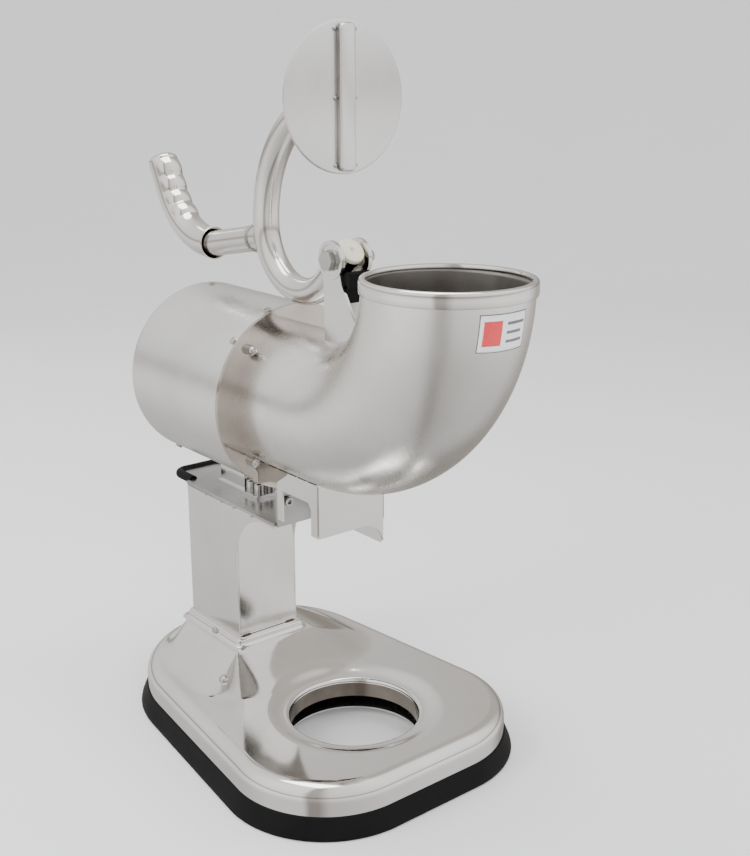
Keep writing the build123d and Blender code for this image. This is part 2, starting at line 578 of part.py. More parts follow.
# ---- switch and wiring box ------------------------------------------------------------------
def make_switch():
    wall = COLUMN_HALF_X
    bezel = block(wall, wall + 2, SWITCH_Y - 13, SWITCH_Y + 13, SWITCH_Z - 17, SWITCH_Z + 17)
    case = block(wall - 22, wall, SWITCH_Y - 10.9, SWITCH_Y + 10.9, SWITCH_Z - 14.9, SWITCH_Z + 14.9)
    well = block(wall - 8, wall + 3, SWITCH_Y - 9, SWITCH_Y + 9, SWITCH_Z - 13, SWITCH_Z + 13)
    pin_x = wall - 3
    pins = rod_y(1.5, SWITCH_Y - 9, SWITCH_Y - 6, pin_x, SWITCH_Z)
    pins += rod_y(1.5, SWITCH_Y + 6, SWITCH_Y + 9, pin_x, SWITCH_Z)
    nodes["switch_body"] = (bezel + case) - well + pins
    front, back = [(6.2, -11.4), (4.6, 0), (6.2, 11.4)], [(-2.5, 8), (-3.2, 0), (-2.5, -8)]
    face = Polyline(*front, *back, close=True)
    rocker = extrude(Plane.XZ.offset(8.5) * make_face(face), -17)
    rocker -= Rot(90, 0, 0) * Cylinder(1.5 + RUN_GAP, 20)
    nodes["switch_rocker"] = Pos(pin_x, SWITCH_Y, SWITCH_Z) * Rot(0, -ROCKER_TILT, 0) * rocker

    base = block(-22, 22, 150, 163.9, 128, 146)
    posts = Part()
    for x in (-14, 0, 14):
        posts += rod_z(3, 146, 150, x, 157)
    nodes["terminal_block"] = base + posts
    nodes["run_capacitor"] = rod_z(17, 100, 160, -14, 98)


make_base()
make_column()
make_shelf()
elbow_outer = make_hopper()
make_chute(elbow_outer)
make_housing()
make_motor()
make_rotor()
make_bracket(elbow_outer)
make_arm()
make_switch()

# The design is laid out around the motor; this moves the footprint's centre to the origin.
rear_y = nodes["grip"].bounding_box().max.Y
shift_y = -(HOPPER_Y - COLLAR_R + rear_y) / 2
print("shift_y", round(shift_y, 4))
for name, shape in nodes.items():
    placed = Pos(0, shift_y, 0) * shape
    whole = placed if isinstance(placed, Compound) else Compound(children=[placed])
    export_step(whole, f"parts/{name}.step")
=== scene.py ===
"""Looks of the shaved ice machine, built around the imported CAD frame. Metres, +Z up."""
import json
from math import ceil, cos, pi, radians, sin

import bmesh
import bpy
import numpy as np
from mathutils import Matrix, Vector


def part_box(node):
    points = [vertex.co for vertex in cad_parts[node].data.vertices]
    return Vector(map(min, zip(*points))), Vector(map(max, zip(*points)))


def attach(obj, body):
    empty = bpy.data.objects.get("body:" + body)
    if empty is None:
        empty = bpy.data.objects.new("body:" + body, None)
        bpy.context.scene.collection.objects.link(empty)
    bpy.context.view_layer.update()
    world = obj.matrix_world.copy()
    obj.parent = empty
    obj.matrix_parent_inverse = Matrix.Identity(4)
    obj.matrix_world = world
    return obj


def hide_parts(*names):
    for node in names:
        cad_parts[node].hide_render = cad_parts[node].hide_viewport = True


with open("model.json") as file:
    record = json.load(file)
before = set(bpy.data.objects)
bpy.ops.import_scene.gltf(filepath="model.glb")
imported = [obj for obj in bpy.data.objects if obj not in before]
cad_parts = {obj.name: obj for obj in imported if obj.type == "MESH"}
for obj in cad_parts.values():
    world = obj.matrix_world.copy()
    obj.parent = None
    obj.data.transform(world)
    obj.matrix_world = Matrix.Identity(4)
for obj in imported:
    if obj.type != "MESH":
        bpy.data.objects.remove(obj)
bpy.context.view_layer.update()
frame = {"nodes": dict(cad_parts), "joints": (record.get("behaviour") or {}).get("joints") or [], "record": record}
nodes = frame["nodes"]

# ---- places read from the frame -----------------------------------------------------------
TUBE_WALL = 0.0015
MOUTH_STRAIGHT = 0.0015             # the tube runs straight for this far above its bend
elbow_low, elbow_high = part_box("hopper_elbow")
TUBE_R = (elbow_high.x - elbow_low.x) / 2
AXIS_Z = elbow_low.z + TUBE_R
HOPPER_Y = elbow_low.y + TUBE_R
FLANGE_Y = elbow_high.y
BEND_R = elbow_high.z - AXIS_Z - MOUTH_STRAIGHT
PIVOT = Vector(frame["joints"][0]["pos_m"])
pan_low, pan_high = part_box("base_pan")
skirt_low, skirt_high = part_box("base_skirt")
column_low, column_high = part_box("column_left")
plate_low, plate_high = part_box("press_plate")
PLATE_CENTRE_Z = (plate_low.z + plate_high.z) / 2


# ---- mesh helpers -------------------------------------------------------------------------
def new_object(name, verts, faces, smooth=True, sharp_deg=40):
    """A mesh object with smooth faces and creases kept where the surface turns sharply."""
    mesh = bpy.data.meshes.new(name)
    mesh.from_pydata([tuple(v) for v in verts], [], faces)
    mesh.validate()
    obj = bpy.data.objects.new(name, mesh)
    bpy.context.scene.collection.objects.link(obj)
    work = bmesh.new()
    work.from_mesh(mesh)
    bmesh.ops.remove_doubles(work, verts=work.verts, dist=1e-7)
    bmesh.ops.recalc_face_normals(work, faces=work.faces)
    work.to_mesh(mesh)
    work.free()
    if smooth:
        mesh.shade_smooth()
        mesh.set_sharp_from_angle(angle=radians(sharp_deg))
    return obj


def grid_faces(rows, columns, wrap=True):
    """Quads between rows of equal length, closed round each row when wrap is set."""
    faces = []
    last = columns if wrap else columns - 1
    for r in range(rows - 1):
        for c in range(last):
            d = (c + 1) % columns
            here, above = r * columns, (r + 1) * columns
            faces.append((here + c, here + d, above + d, above + c))
    return faces


def lathe(name, profile, centre, axis="Z", segments=128, closed=False):
    """Turns (radius, height) pairs round an axis, Z or Y, through centre."""
    verts, rows = [], list(profile) + ([profile[0]] if closed else [])
    for radius, height in rows:
        for i in range(segments):
            a = 2 * pi * i / segments
            first, second = radius * cos(a), radius * sin(a)
            offset = (first, second, height) if axis == "Z" else (first, height, second)
            verts.append(centre + Vector(offset))
    return new_object(name, verts, grid_faces(len(rows), segments))


def line_points(start, end, step):
    """Points from start to end in the YZ plane, without the last one."""
    count = max(1, ceil((Vector(end) - Vector(start)).length / step))
    return [Vector(start).lerp(Vector(end), i / count) for i in range(count)]


def bend_points(start, heading_deg, radius, turn_deg, step_deg=3.0):
    """Points round an arc in the YZ plane that starts along a heading. Positive turns to the left."""
    heading = radians(heading_deg)
    side = 1 if turn_deg > 0 else -1
    centre = Vector(start) + radius * side * Vector((-sin(heading), cos(heading)))
    count = ceil(abs(turn_deg) / step_deg)
    points = []
    for i in range(count + 1):
        a = heading + radians(turn_deg) * i / count
        points.append(centre - radius * side * Vector((-sin(a), cos(a))))
    return points


def swept(name, points, radius_at, segments=72, cap_start=True):
    """A round tube along YZ points, closed at its far end.

    radius_at(distance, angle) gives its surface. Angle 0 faces +X and 90 degrees faces the left side.
    """
    verts, length = [], 0.0
    for i, point in enumerate(points):
        before = points[max(i - 1, 0)]
        after = points[min(i + 1, len(points) - 1)]
        tangent = (after - before).normalized()
        normal = Vector((-tangent.y, tangent.x))
        if i:
            length += (point - points[i - 1]).length
        for s in range(segments):
            a = 2 * pi * s / segments
            r = radius_at(length, a)
            verts.append((r * cos(a), point.x + r * sin(a) * normal.x, point.y + r * sin(a) * normal.y))
    faces = grid_faces(len(points), segments)
    if cap_start:
        faces.append(tuple(range(segments)))
    faces.append(tuple(range((len(points) - 1) * segments, len(points) * segments)))
    return new_object(name, verts, faces)


def join(name, objects):
    """Joins mesh objects into the first one and renames it."""
    bpy.ops.object.select_all(action="DESELECT")
    for obj in objects:
        obj.select_set(True)
    bpy.context.view_layer.objects.active = objects[0]
    bpy.ops.object.join()
    objects[0].name = name
    return objects[0]


def apply_modifiers(obj):
    """Bakes the modifiers into the mesh."""
    depsgraph = bpy.context.evaluated_depsgraph_get()
    mesh = bpy.data.meshes.new_from_object(obj.evaluated_get(depsgraph))
    obj.modifiers.clear()
    obj.data = mesh


def thicken(obj, depth, side=-1.0):
    """Gives a sheet its thickness, on the inside or, with side=1, on the outside."""
    modifier = obj.modifiers.new("sheet", "SOLIDIFY")
    modifier.thickness = depth
    modifier.offset = side
    apply_modifiers(obj)


def smoothstep(x):
    """Rises smoothly from 0 to 1 as x does."""
    x = min(1.0, max(0.0, x))
    return x * x * (3 - 2 * x)


# ---- materials ----------------------------------------------------------------------------
CLOUD_SCALE, WAVE_SCALE, SMEAR_SCALE, MARK_SCALE = 18, 9, 45, 900      # features per metre
WAVE_DEPTH, MARK_DEPTH = 0.004, 0.00002
PLASTIC_CLOUD_SCALE, GRAIN_DEPTH, GRAIN_STRENGTH = 35, 0.00005, 0.4


def material_with_nodes(name):
    """A new node material with its node tree and shader."""
    material = bpy.data.materials.new(name)
    material.use_nodes = True
    tree = material.node_tree
    return material, tree, tree.nodes["Principled BSDF"]


def add_noise(tree, scale, detail=4.0, stretch=(1, 1, 1), roughness=0.5):
    """Noise in object coordinates. Scale is in features per metre."""
    coords = tree.nodes.new("ShaderNodeTexCoord")
    mapping = tree.nodes.new("ShaderNodeMapping")
    mapping.inputs["Scale"].default_value = stretch
    noise = tree.nodes.new("ShaderNodeTexNoise")
    noise.inputs["Scale"].default_value = scale
    noise.inputs["Detail"].default_value = detail
    noise.inputs["Roughness"].default_value = roughness
    tree.links.new(coords.outputs["Object"], mapping.inputs["Vector"])
    tree.links.new(mapping.outputs["Vector"], noise.inputs["Vector"])
    return noise


def ramp(tree, source, stops):
    """Maps a value to colours given as (position, (r, g, b))."""
    node = tree.nodes.new("ShaderNodeValToRGB")
    elements = node.color_ramp.elements
    for _ in range(len(stops) - 2):
        elements.new(0.5)
    for element, (position, color) in zip(elements, stops):
        element.position = position
        element.color = (*color, 1.0)
    tree.links.new(source, node.inputs["Fac"])
    return node.outputs["Color"]


def map_range(tree, source, low, high, from_low=0.3, from_high=0.7):
    """Stretches a value to lie between low and high."""
    node = tree.nodes.new("ShaderNodeMapRange")
    node.inputs["From Min"].default_value = from_low
    node.inputs["From Max"].default_value = from_high
    node.inputs["To Min"].default_value = low
    node.inputs["To Max"].default_value = high
    tree.links.new(source, node.inputs["Value"])
    return node.outputs["Result"]


def bump_chain(tree, shader, layers):
    """Stacks bumps given as (height output, distance in metres, strength)."""
    normal = None
    for height, distance, strength in layers:
        bump = tree.nodes.new("ShaderNodeBump")
        bump.inputs["Distance"].default_value = distance
        bump.inputs["Strength"].default_value = strength
        tree.links.new(height, bump.inputs["Height"])
        if normal:
            tree.links.new(normal, bump.inputs["Normal"])
        normal = bump.outputs["Normal"]
    tree.links.new(normal, shader.inputs["Normal"])


def steel(name, light, dark, rough, wave=0.3, grain=(1, 1, 1), grain_strength=0.06):
    """Stainless steel: cloudy tint, uneven polish, long waves from forming and fine polishing marks."""
    material, tree, shader = material_with_nodes(name)
    cloud = add_noise(tree, CLOUD_SCALE, 5)
    marks = add_noise(tree, MARK_SCALE, 3, grain, 0.6)
    waves = add_noise(tree, WAVE_SCALE, 1.5)
    smears = add_noise(tree, SMEAR_SCALE, 6, (1, 1, 0.35), 0.65)
    shader.inputs["Metallic"].default_value = 1.0
    tint = ramp(tree, cloud.outputs["Fac"], [(0.3, dark), (0.7, light)])
    tree.links.new(tint, shader.inputs["Base Color"])
    tree.links.new(map_range(tree, smears.outputs["Fac"], *rough), shader.inputs["Roughness"])
    bump_chain(tree, shader, [
        (waves.outputs["Fac"], WAVE_DEPTH, wave), (marks.outputs["Fac"], MARK_DEPTH, grain_strength),
    ])
    return material


def plastic(name, light, dark, rough, scale=400, subsurface=0.0, specular=0.5):
    """Moulded plastic or rubber: a fine grain, faint mottling and an uneven sheen."""
    material, tree, shader = material_with_nodes(name)
    cloud = add_noise(tree, PLASTIC_CLOUD_SCALE, 5)
    fine = add_noise(tree, scale, 4)
    tint = ramp(tree, cloud.outputs["Fac"], [(0.25, dark), (0.75, light)])
    tree.links.new(tint, shader.inputs["Base Color"])
    tree.links.new(map_range(tree, cloud.outputs["Fac"], *rough), shader.inputs["Roughness"])
    bump_chain(tree, shader, [(fine.outputs["Fac"], GRAIN_DEPTH, GRAIN_STRENGTH)])
    shader.inputs["Specular IOR Level"].default_value = specular
    if subsurface:
        shader.inputs["Subsurface Weight"].default_value = subsurface
        shader.inputs["Subsurface Radius"].default_value = (0.004, 0.003, 0.002)
        shader.inputs["Subsurface Scale"].default_value = 1.0
    return material


WARM = (0.86, 0.845, 0.825)
WARM_DARK = (0.80, 0.78, 0.755)
mirror_steel = steel("mirror_steel", WARM, WARM_DARK, (0.05, 0.10), 0.10)
tube_steel = steel("tube_steel", (0.82, 0.80, 0.77), (0.74, 0.72, 0.69), (0.14, 0.22), 0.05)
sheet_steel = steel("sheet_steel", (0.83, 0.82, 0.80), (0.76, 0.75, 0.73), (0.10, 0.17), 0.12)
grip_steel = steel("grip_steel", (0.86, 0.83, 0.79), (0.78, 0.75, 0.71), (0.07, 0.14), 0.15)
bolt_steel = steel("bolt_steel", (0.64, 0.63, 0.61), (0.42, 0.41, 0.39), (0.12, 0.24), 0.1)
# a darker steel for weld beads; on the press plate's rib wall the same colour is a painted dark reflection
weld_and_painted_reflection_steel = steel("weld_and_painted_reflection_steel", (0.62, 0.60, 0.57), (0.28, 0.26, 0.24), (0.22, 0.4), 0.3)
burnt_weld = steel("burnt_weld", (0.16, 0.13, 0.11), (0.03, 0.025, 0.02), (0.35, 0.6), 0.4)
zinc = steel("zinc_sheet", (0.60, 0.61, 0.60), (0.45, 0.46, 0.46), (0.3, 0.45), 0.1)
lamination = steel("lamination", (0.34, 0.34, 0.35), (0.2, 0.2, 0.21), (0.4, 0.6), 0.1, (1, 12, 1), 0.5)
copper = steel("copper_wire", (0.72, 0.36, 0.18), (0.45, 0.2, 0.09), (0.25, 0.4), 0.1, (1, 6, 1), 0.6)
aluminium = steel("cast_aluminium", (0.66, 0.67, 0.68), (0.5, 0.51, 0.52), (0.4, 0.55), 0.4)
elbow_steel = steel("elbow_steel", (0.92, 0.91, 0.89), (0.84, 0.825, 0.80), (0.22, 0.32), 0.10)
sleeve_steel = steel("sleeve_steel", (0.92, 0.91, 0.90), (0.85, 0.835, 0.815), (0.24, 0.34), 0.06)
# painted reflection: the motor's front flange is tinted warm brown and dark to stand in for the dark surroundings
# its face reflects
flange_painted_reflection_steel = steel("flange_painted_reflection_steel", (0.66, 0.61, 0.56), (0.44, 0.39, 0.35), (0.05, 0.10), 0.10)
# painted shade: a darker and rougher steel for the top shelf and the front mount plate; the darker grey paints the
# shade they sit in
shelf_painted_shade_steel = steel("shelf_painted_shade_steel", (0.56, 0.55, 0.54), (0.38, 0.37, 0.36), (0.20, 0.30), 0.12)
# painted shade: near-black steel for the inner face of the hole's lip, where shade falls inside the hole
lip_painted_shade_steel = steel("lip_painted_shade_steel", (0.26, 0.23, 0.20), (0.09, 0.08, 0.07), (0.16, 0.30), 0.20)
# painted shade: a darker grey-brown steel inside the hopper tube, where shade falls; its roughness stands for the
# brushed inner finish
lining_painted_shade_steel = steel("lining_painted_shade_steel", (0.52, 0.50, 0.48), (0.34, 0.32, 0.30), (0.38, 0.55), 0.10)
plate_steel = steel("plate_steel", (0.93, 0.925, 0.92), (0.90, 0.89, 0.885), (0.26, 0.34), 0.03)
rubber = plastic(
    "black_rubber", (0.006, 0.006, 0.0065), (0.003, 0.003, 0.0035), (0.50, 0.65), 700, specular=0.14)
nylon = plastic("cream_nylon", (0.82, 0.79, 0.66), (0.72, 0.68, 0.54), (0.38, 0.5), 300, subsurface=0.15)
black_plastic = plastic("black_plastic", (0.03, 0.03, 0.032), (0.02, 0.02, 0.02), (0.3, 0.42), 900)
red_plastic = plastic("rocker_plastic", (0.60, 0.03, 0.025), (0.48, 0.02, 0.02), (0.16, 0.26), 300)
can_plastic = plastic("capacitor_plastic", (0.72, 0.71, 0.68), (0.62, 0.61, 0.58), (0.35, 0.5), 300)
vinyl_white = plastic("vinyl_white", (0.86, 0.86, 0.87), (0.80, 0.80, 0.82), (0.22, 0.34), 200)
vinyl_red = plastic("vinyl_red", (0.78, 0.06, 0.07), (0.66, 0.04, 0.05), (0.22, 0.34), 200)
vinyl_grey = plastic("vinyl_grey", (0.16, 0.16, 0.19), (0.10, 0.10, 0.13), (0.25, 0.38), 200)


def paint(obj, material):
    """Gives the whole object one material."""
    obj.data.materials.clear()
    obj.data.materials.append(material)
    return obj


def place(obj, material, body, slot, *replaced):
    """Finishes a new piece: its material, the body it rides on and the CAD nodes it stands for. The slot argument
    is not used.
    """
    paint(obj, material)
    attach(obj, body)
    if replaced:
        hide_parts(*replaced)
    return obj


# ---- base ---------------------------------------------------------------------------------
SHIFT = PIVOT.y + 0.064             # y of the machine's own layout, which starts 64 mm behind the pivot
HOLE_Y = SHIFT - 0.073
HOLE_R = 0.0625
EDGE_Z = 0.043
TOP_Z = 0.048
FRONT_X = 0.049
FRONT_R, REAR_R = skirt_high.x - FRONT_X, 0.132
FRONT_Y = skirt_low.y + FRONT_R
REAR_Y = skirt_high.y - REAR_R
PAN_INSET = pan_low.x - skirt_low.x
PAN_SHEET = 0.0012
SHOULDER_R, SHOULDER_STEPS = 0.014, 12
PAN_DIRECTIONS, PAN_RINGS = 432, 84
LIP_R = 0.0035
CROWN_Z = pan_high.z - 0.008        # where the pan's slope ends and the plinth starts
CROWN_Y = SHIFT + 0.118
CROWN_HALF_X, CROWN_HALF_Y = 0.048, 0.058
PLINTH_HALF_X, PLINTH_HALF_Y, PLINTH_CORNER = 0.041, 0.052, 0.006
PAN_SCREW_X, PAN_SCREW_Y = -0.076, SHIFT + 0.040
SLOPE_REACH, SLOPE_POWER = 0.064, 1.35
SLOPE_CLEAR, SLOPE_FADE = 0.010, 0.024
DISH_R, DISH_FADE = 0.088, 0.022

NORMAL_ANGLES = np.linspace(0, 2 * pi, 1441)[:-1]
NORMALS = np.stack([np.cos(NORMAL_ANGLES), np.sin(NORMAL_ANGLES)], axis=1)
DISCS = ((-FRONT_X, FRONT_Y, FRONT_R), (FRONT_X, FRONT_Y, FRONT_R), (0.0, REAR_Y, REAR_R))
SUPPORT = np.max([NORMALS @ (x, y) + r for x, y, r in DISCS], axis=0)


def outline_depth(x, y):
    """How deep a point of the plan lies inside the tapered outline of the base."""
    return float(np.min(SUPPORT - NORMALS @ (x, y)))


def outline_reach(direction, inset):
    """Distance from the hole's centre to the outline, moved in by inset, along a direction."""
    facing = NORMALS @ direction
    ahead = facing > 1e-6
    room = SUPPORT - inset - NORMALS @ (0.0, HOLE_Y)
    return float(np.min(room[ahead] / facing[ahead]))


def outline_ring(inset, height, count=288):
    """Points round the base at one inset and height."""
    ring = []
    for i in range(count):
        a = 2 * pi * i / count
        reach = outline_reach((cos(a), sin(a)), inset)
        ring.append((reach * cos(a), HOLE_Y + reach * sin(a), height))
    return ring


def pan_height(x, y):
    """Height of the pan's sheet: flat, rising to the column's foot and dished at the hole."""
    beside = max(abs(x) - CROWN_HALF_X, 0.0)
    beyond = max(abs(y - CROWN_Y) - CROWN_HALF_Y, 0.0)
    distance = (beside ** 2 + beyond ** 2) ** 0.5
    fade = smoothstep((outline_depth(x, y) - PAN_INSET - SLOPE_CLEAR) / SLOPE_FADE)
    rise = (CROWN_Z - TOP_Z) * max(0.0, 1 - distance / SLOPE_REACH) ** SLOPE_POWER * fade
    radius = (x ** 2 + (y - HOLE_Y) ** 2) ** 0.5
    dish = (TOP_Z - EDGE_Z) * smoothstep((DISH_R - radius) / DISH_FADE)
    return TOP_Z + rise - dish


def build_pan():
    """The pressed steel pan: wall, round shoulder, top sheet and the turned-down lip of the hole."""
    rows = [outline_ring(PAN_INSET, z, PAN_DIRECTIONS) for z in (pan_low.z, 0.020, 0.030)]
    for i in range(SHOULDER_STEPS + 1):
        a = pi / 2 * i / SHOULDER_STEPS
        inset = PAN_INSET + SHOULDER_R * (1 - cos(a))
        rows.append(outline_ring(inset, TOP_Z - SHOULDER_R + SHOULDER_R * sin(a), PAN_DIRECTIONS))
    outer = rows.pop()
    angles = [2 * pi * i / PAN_DIRECTIONS for i in range(PAN_DIRECTIONS)]
    for k in range(PAN_RINGS + 1):
        t = k / PAN_RINGS
        row = []
        for (x, y, _), a in zip(outer, angles):
            near_x, near_y = (HOLE_R + LIP_R) * cos(a), HOLE_Y + (HOLE_R + LIP_R) * sin(a)
            px, py = x + (near_x - x) * t, y + (near_y - y) * t
            row.append((px, py, pan_height(px, py)))
        rows.append(row)
    for turn, drop in ((30, 0), (60, 0), (90, 0), (90, 0.006), (90, 0.012), (90, 0.0155)):
        radius = HOLE_R + LIP_R * (1 - sin(radians(turn)))
        z = EDGE_Z - LIP_R * (1 - cos(radians(turn))) - drop
        rows.append([(radius * cos(a), HOLE_Y + radius * sin(a), z) for a in angles])
    verts = [v for row in rows for v in row]
    pan = new_object("pan_shell", verts, grid_faces(len(rows), PAN_DIRECTIONS), sharp_deg=60)
    thicken(pan, PAN_SHEET)
    return join("base_pan_shell", [pan, build_plinth()])


def rounded_rectangle(half_x, half_y, radius, steps=6):
    """Plan of a rectangle with round corners, counter-clockwise round the origin."""
    points = []
    for quarter, (sx, sy) in enumerate(((1, 1), (-1, 1), (-1, -1), (1, -1))):
        for i in range(steps + 1):
            a = pi / 2 * (quarter + i / steps)
            centre = (sx * (half_x - radius), sy * (half_y - radius))
            points.append((centre[0] + radius * cos(a), centre[1] + radius * sin(a)))
    return points


def build_plinth():
    """The raised step that the column stands on, with a soft foot and a round top edge."""
    profile = [(0.007, -0.0005), (0.004, 0.0002), (0.0018, 0.0012), (0.0005, 0.003), (0.0, 0.005)]
    profile += [(-0.0002, 0.0062), (-0.0007, 0.0073), (-0.0018, 0.0079), (-0.004, 0.0082)]
    profile += [(-0.006, 0.0082)]
    rows = []
    for grow, height in profile:
        corner = max(PLINTH_CORNER + grow, 0.001)
        plan = rounded_rectangle(PLINTH_HALF_X + grow, PLINTH_HALF_Y + grow, corner)
        rows.append([(x, CROWN_Y + y, CROWN_Z + height) for x, y in plan])
    verts = [v for row in rows for v in row]
    return new_object("plinth", verts, grid_faces(len(rows), len(rows[0])), sharp_deg=60)


def build_skirt():
    """The flared rubber skirt round the foot of the pan."""
    inner, pan_gap, foot = 0.014, PAN_INSET + 0.0002, 0.008
    profile = [
        (inner, 0.0), (0.0016, 0.0), (0.0005, 0.0005), (0.0, 0.0018), (0.0008, 0.005), (0.0024, 0.009),
        (0.0044, 0.0135), (0.0060, 0.0172), (0.0066, 0.0190), (0.0072, 0.0198), (0.0080, 0.0200),
        (pan_gap, 0.0198), (pan_gap, foot), (inner, foot), (inner, 0.0),
    ]
    rows = [outline_ring(inset, height) for inset, height in profile]
    verts = [v for row in rows for v in row]
    return new_object("rubber_skirt", verts, grid_faces(len(rows), len(rows[0])), sharp_deg=50)


def build_pan_screw():
    """A dome-head screw on the slope beside the column."""
    sunk = 0.0008
    seat = Vector((PAN_SCREW_X, PAN_SCREW_Y, pan_height(PAN_SCREW_X, PAN_SCREW_Y) - sunk))
    profile = [(0.0, 0.0052), (0.0016, 0.0050), (0.0032, 0.0043), (0.0046, 0.0030), (0.0054, 0.0014)]
    profile += [(0.0056, 0.0002), (0.0056, -0.0014), (0.0, -0.0014)]
    return lathe("pan_dome_screw", profile, seat, segments=48)


def build_hole_lip():
    """The inner face of the hole's turned-down lip, fairly rough; its near-black colour is painted shade inside
    the hole.
    """
    top, foot, skin = EDGE_Z - 0.0045, EDGE_Z - 0.0190, 0.0003
    profile = [(HOLE_R, top), (HOLE_R - skin, top - skin), (HOLE_R - skin, foot), (HOLE_R, foot)]
    return lathe("hole_lip", profile, Vector((0, HOLE_Y, 0)), "Z", 144, closed=True)


# painted shade inside the hole: the lip's inner face gets the near-black steel
place(build_hole_lip(), lip_painted_shade_steel, "stand", "polished_steel")
place(build_pan(), mirror_steel, "stand", "polished_steel", "base_pan")
place(build_skirt(), rubber, "stand", "black_rubber", "base_skirt")
place(build_pan_screw(), bolt_steel, "stand", "fastener_steel", "pan_screw")


# ---- hopper -------------------------------------------------------------------------------
OUTLET_X, OUTLET_Y = 0.032, (SHIFT - 0.043, SHIFT - 0.008)
LINING_END, LINING_SHEET = radians(62), 0.0002


def bend_frame(theta):
    """Centre and outward direction of the hopper bend. theta runs from 0 at the mouth to 90 degrees."""
    centre = Vector((0, HOPPER_Y + BEND_R * (1 - cos(theta)), AXIS_Z + BEND_R * (1 - sin(theta))))
    return centre, Vector((0, -cos(theta), -sin(theta)))


def bend_surface(theta, phi, lift=0.0):
    """A point on the hopper's skin. phi turns from the outside of the bend towards +X."""
    centre, outward = bend_frame(theta)
    radius = TUBE_R + lift
    return centre + outward * radius * cos(phi) + Vector((1, 0, 0)) * radius * sin(phi)


def build_elbow():
    """The bent hopper tube as one smooth sheet with its thickness, open at the mouth and the outlet."""
    segments, bend_steps, straight_steps = 160, 48, 12
    angles = [2 * pi * i / segments for i in range(segments)]
    stations = [(0.0, Vector((0, 0, MOUTH_STRAIGHT)))]
    stations += [(radians(90) * i / bend_steps, Vector()) for i in range(bend_steps + 1)]
    straight = FLANGE_Y - (HOPPER_Y + BEND_R)
    for k in range(1, straight_steps + 1):
        stations.append((radians(90), Vector((0, straight * k / straight_steps, 0))))
    verts = [bend_surface(theta, a) + offset for theta, offset in stations for a in angles]
    elbow = new_object("hopper_tube", verts, grid_faces(len(stations), segments), sharp_deg=60)
    thicken(elbow, TUBE_WALL)
    cut_box(elbow, (-OUTLET_X, OUTLET_Y[0], AXIS_Z - 0.08), (OUTLET_X, OUTLET_Y[1], AXIS_Z - 0.02))
    return elbow


def cut_box(obj, low, high):
    """Cuts a box out of a solid mesh."""
    spans = list(zip(low, high))
    corners = [(x, y, z) for z in spans[2] for y in spans[1] for x in spans[0]]
    faces = [(0, 2, 3, 1), (4, 5, 7, 6), (0, 1, 5, 4), (2, 6, 7, 3), (0, 4, 6, 2), (1, 3, 7, 5)]
    cutter = new_object("cutter", corners, faces, smooth=False)
    modifier = obj.modifiers.new("cut", "BOOLEAN")
    modifier.operation = "DIFFERENCE"
    modifier.object = cutter
    apply_modifiers(obj)
    bpy.data.objects.remove(cutter)
    obj.data.set_sharp_from_angle(angle=radians(45))


def build_collar():
    """The rolled rim: a flat band outside, a rounded top and a turned-in inner edge."""
    low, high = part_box("hopper_collar")
    outer, top, bottom = high.x, high.z, low.z
    inner, bore = 0.066, TUBE_R - TUBE_WALL
    profile = [
        (TUBE_R, bottom), (outer - 0.0012, bottom), (outer - 0.0003, bottom + 0.0006),
        (outer, bottom + 0.0018), (outer, top - 0.0030), (outer - 0.0004, top - 0.0014),
        (outer - 0.0013, top - 0.0004), (outer - 0.0026, top), (inner + 0.0018, top),
        (inner + 0.0006, top - 0.0004), (inner, top - 0.0014), (inner, top - 0.0036),
        (bore, top - 0.0040), (bore, top - 0.0060), (TUBE_R, top - 0.0060),
    ]
    return lathe("hopper_rim", profile, Vector((0, HOPPER_Y, 0)), "Z", 192, closed=True)


def build_lining():
    """The rough inner face of the hopper, from the mouth down into the bend; its roughness is the brushed inner
    finish and its darker grey-brown colour is painted shade inside the tube.
    """
    segments, rows, verts = 128, 30, []
    for k in range(rows):
        theta = LINING_END * k / (rows - 1)
        for s in range(segments):
            verts.append(bend_surface(theta, 2 * pi * s / segments, -TUBE_WALL - LINING_SHEET))
    lining = new_object("hopper_lining", verts, grid_faces(rows, segments))
    thicken(lining, LINING_SHEET)
    return lining


# the hopper's lining carries painted shade inside the tube
place(build_lining(), lining_painted_shade_steel, "stand", "polished_steel")
place(build_elbow(), elbow_steel, "stand", "polished_steel", "hopper_elbow")
place(build_collar(), mirror_steel, "stand", "polished_steel", "hopper_collar")


# ---- press arm ----------------------------------------------------------------------------
ARM_R, ARM_STEP, RUN_STEP = 0.0125, 0.0025, 0.004
ARM_HEADING, NOSE_LENGTH, NOSE_RUN = -42, 0.009, 0.034
LOW_BEND_R, LOW_BEND_TURN = 0.058, 131
HIGH_BEND_R, HIGH_BEND_TURN = 0.114, 91
HANDLE_HEADING, HANDLE_BEND_R, HANDLE_TURN = -10, 0.085, 73
TIP_LENGTH = 0.0372
GRIP_R, GRIP_SHEET, GRIP_START = 0.0153, 0.0012, 0.08
SWELLS, SWELL_HEIGHT, SWELL_FIRST, SWELL_PITCH, SWELL_HALF = 4, 0.0024, 0.0165, 0.0180, 0.0098


def direction(heading_deg):
    """Unit vector in the YZ plane."""
    return Vector((cos(radians(heading_deg)), sin(radians(heading_deg))))


